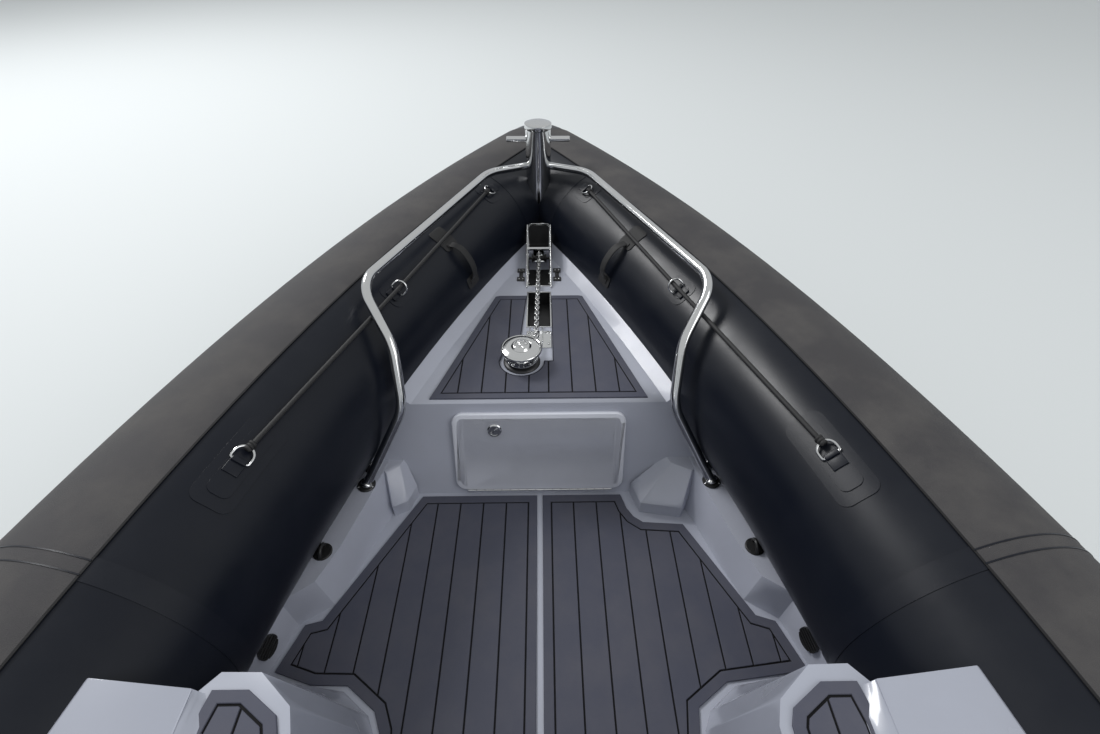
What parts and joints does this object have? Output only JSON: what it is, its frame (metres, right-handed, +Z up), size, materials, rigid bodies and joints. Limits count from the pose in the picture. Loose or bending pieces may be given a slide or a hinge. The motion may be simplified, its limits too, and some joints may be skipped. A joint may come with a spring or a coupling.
{
  "type": "rigid inflatable boat",
  "caption": "Rigid-hulled inflatable boat with a raised foredeck, bow post and rails, anchor windlass, twin consoles, stern arch and outboard engine.",
  "frame": {"origin": "on the centreline amidships, at the waterline of the boat afloat", "axes": "+X to port, +Y aft, +Z up; the bow points to -Y"},
  "size_m": [3.0166, 9.2733, 3.2063],
  "materials": {
    "alloy_frame": "powder coated",
    "black_plastic": "satin",
    "deck_foam": "matte, brushed foam",
    "deck_gelcoat": "satin with moulded non-slip",
    "engine_alloy": "satin",
    "engine_paint": "gloss",
    "hull_gelcoat": "gloss",
    "lamp_white": "gloss",
    "lid_gelcoat": "satin",
    "rope": "braided",
    "seat_vinyl": "stitched marine vinyl",
    "stainless": "polished",
    "strake_rubber": "satin",
    "tinted_glass": "clear, lightly tinted",
    "tread_fabric": "matte, fine texture",
    "tube_fabric": "satin"
  },
  "bodies": {
    "boat": {"anchor_chain": "stainless", "anchor_roller": "stainless", "arch": "alloy_frame", "bench_base": "deck_gelcoat", "bench_cushion": "seat_vinyl", "bow_post": "stainless", "bow_rail_port": "stainless", "bow_rail_starboard": "stainless", "chain_plate": "stainless", "console_port": "deck_gelcoat", "console_starboard": "deck_gelcoat", "deck": "deck_gelcoat", "deck_pad_port": "deck_foam", "deck_pad_starboard": "deck_foam", "drains": "black_plastic", "engine_bracket": "engine_alloy", "foredeck_pad": "deck_foam", "fuel_filler": "stainless", "grab_rails": "stainless", "hatch_pads": "black_plastic", "hull": "hull_gelcoat", "instrument_panel": "black_plastic", "lid_hinge": "stainless", "lifelines_inner": "rope", "lifelines_outer": "rope", "lift_handles": "rope", "line_holders": "strake_rubber", "nav_light": "lamp_white", "rail_flanges": "stainless", "rubbing_strake": "strake_rubber", "seat_base_port": "deck_gelcoat", "seat_base_starboard": "deck_gelcoat", "seat_cushion_port": "seat_vinyl", "seat_cushion_starboard": "seat_vinyl", "side_cleats": "black_plastic", "side_eyes": "stainless", "step_pads": "deck_foam", "stern_cleats": "stainless", "swim_platforms": "deck_gelcoat", "throttle": "black_plastic", "tow_rings": "stainless", "tread_strips": "tread_fabric", "tube_bow": "tube_fabric", "tube_patches": "strake_rubber", "tube_port": "tube_fabric", "tube_starboard": "tube_fabric", "windlass_base": "stainless", "windscreen_frames": "alloy_frame", "windscreen_port": "tinted_glass", "windscreen_starboard": "tinted_glass"},
    "lid": {"locker_lid": "lid_gelcoat", "lid_latch": "stainless"},
    "gypsy": {"windlass_gypsy": "stainless"},
    "helm": {"helm_wheel": "stainless"},
    "swivel": {"engine_swivel": "engine_alloy"},
    "engine": {"engine_cowl": "engine_paint", "engine_leg": "engine_alloy"},
    "prop": {"propeller": "stainless"},
    "ladder": {"ladder": "stainless"}
  },
  "joints": [
    {"name": "lid_hinge", "type": "hinge", "parent": "boat", "child": "lid", "pos_m": [0, -2.33179, 0.23298], "axis": [-1, 0, 0], "range_deg": [0, 100]},
    {"name": "windlass_turn", "type": "hinge", "parent": "boat", "child": "gypsy", "pos_m": [0.061, -2.649, 0.6], "axis": [0, 0, 1], "continuous": true},
    {"name": "helm_turn", "type": "hinge", "parent": "boat", "child": "helm", "pos_m": [-0.63158, -0.26907, 1.30282], "axis": [0, 0.6562, 0.7546], "range_deg": [-540, 540]},
    {"name": "engine_tilt", "type": "hinge", "parent": "boat", "child": "swivel", "pos_m": [0, 3.975, 0.395], "axis": [1, 0, 0], "range_deg": [0, 62]},
    {"name": "engine_steer", "type": "hinge", "parent": "swivel", "child": "engine", "pos_m": [0, 4.1, 0.3], "axis": [0, 0, 1], "range_deg": [-30, 30]},
    {"name": "propeller_spin", "type": "hinge", "parent": "engine", "child": "prop", "pos_m": [0, 4.6, -0.64], "axis": [0, 1, 0], "continuous": true},
    {"name": "ladder_fold", "type": "hinge", "parent": "boat", "child": "ladder", "pos_m": [-0.62, 4.348, 0.172], "axis": [-1, 0, 0], "range_deg": [0, 260]}
  ]
}
